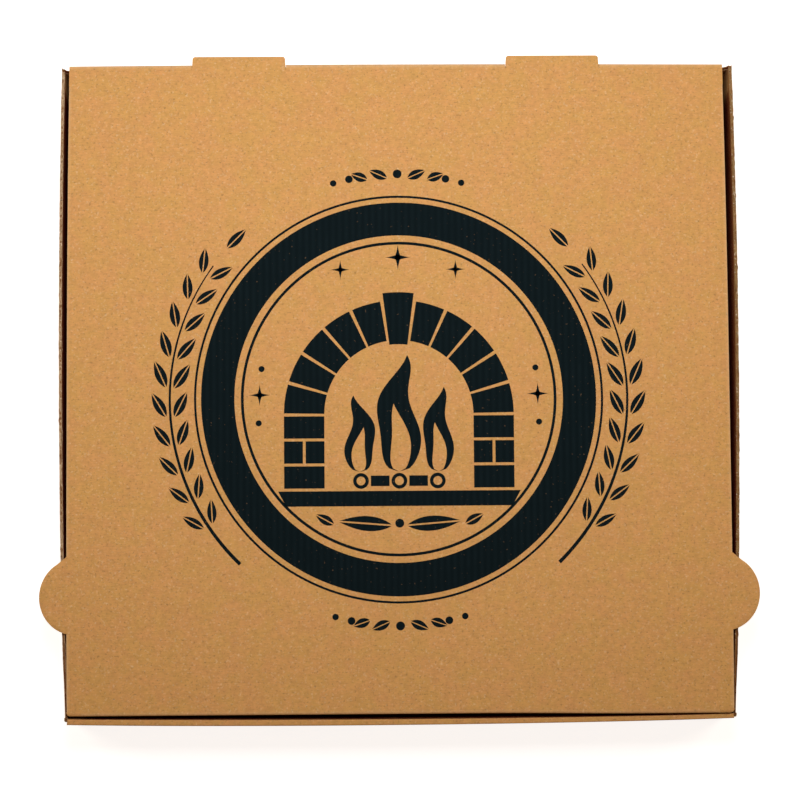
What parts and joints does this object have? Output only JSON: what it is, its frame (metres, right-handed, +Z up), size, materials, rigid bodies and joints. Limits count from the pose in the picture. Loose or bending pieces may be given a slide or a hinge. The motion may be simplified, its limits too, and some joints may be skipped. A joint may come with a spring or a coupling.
{
  "type": "pizza box",
  "caption": "Flat square pizza box folded from corrugated board, with a hinged tuck-in lid, round side ears, rear vent tabs and a rolled front wall.",
  "frame": {"origin": "underside of the floor, in the middle between the side walls and between the front and rear faces", "axes": "+X to the right side, -Y to the front where the lid opens, +Z up"},
  "size_m": [0.3558, 0.3336, 0.04],
  "materials": {
    "kraft_board": "matte"
  },
  "bodies": {
    "tray": {"tray": "kraft_board"},
    "lid": {"lid": "kraft_board"}
  },
  "joints": [
    {"name": "lid_hinge", "type": "hinge", "parent": "tray", "child": "lid", "pos_m": [0, 0.1629, 0.0392], "axis": [-1, 0, 0], "range_deg": [0, 180]}
  ]
}
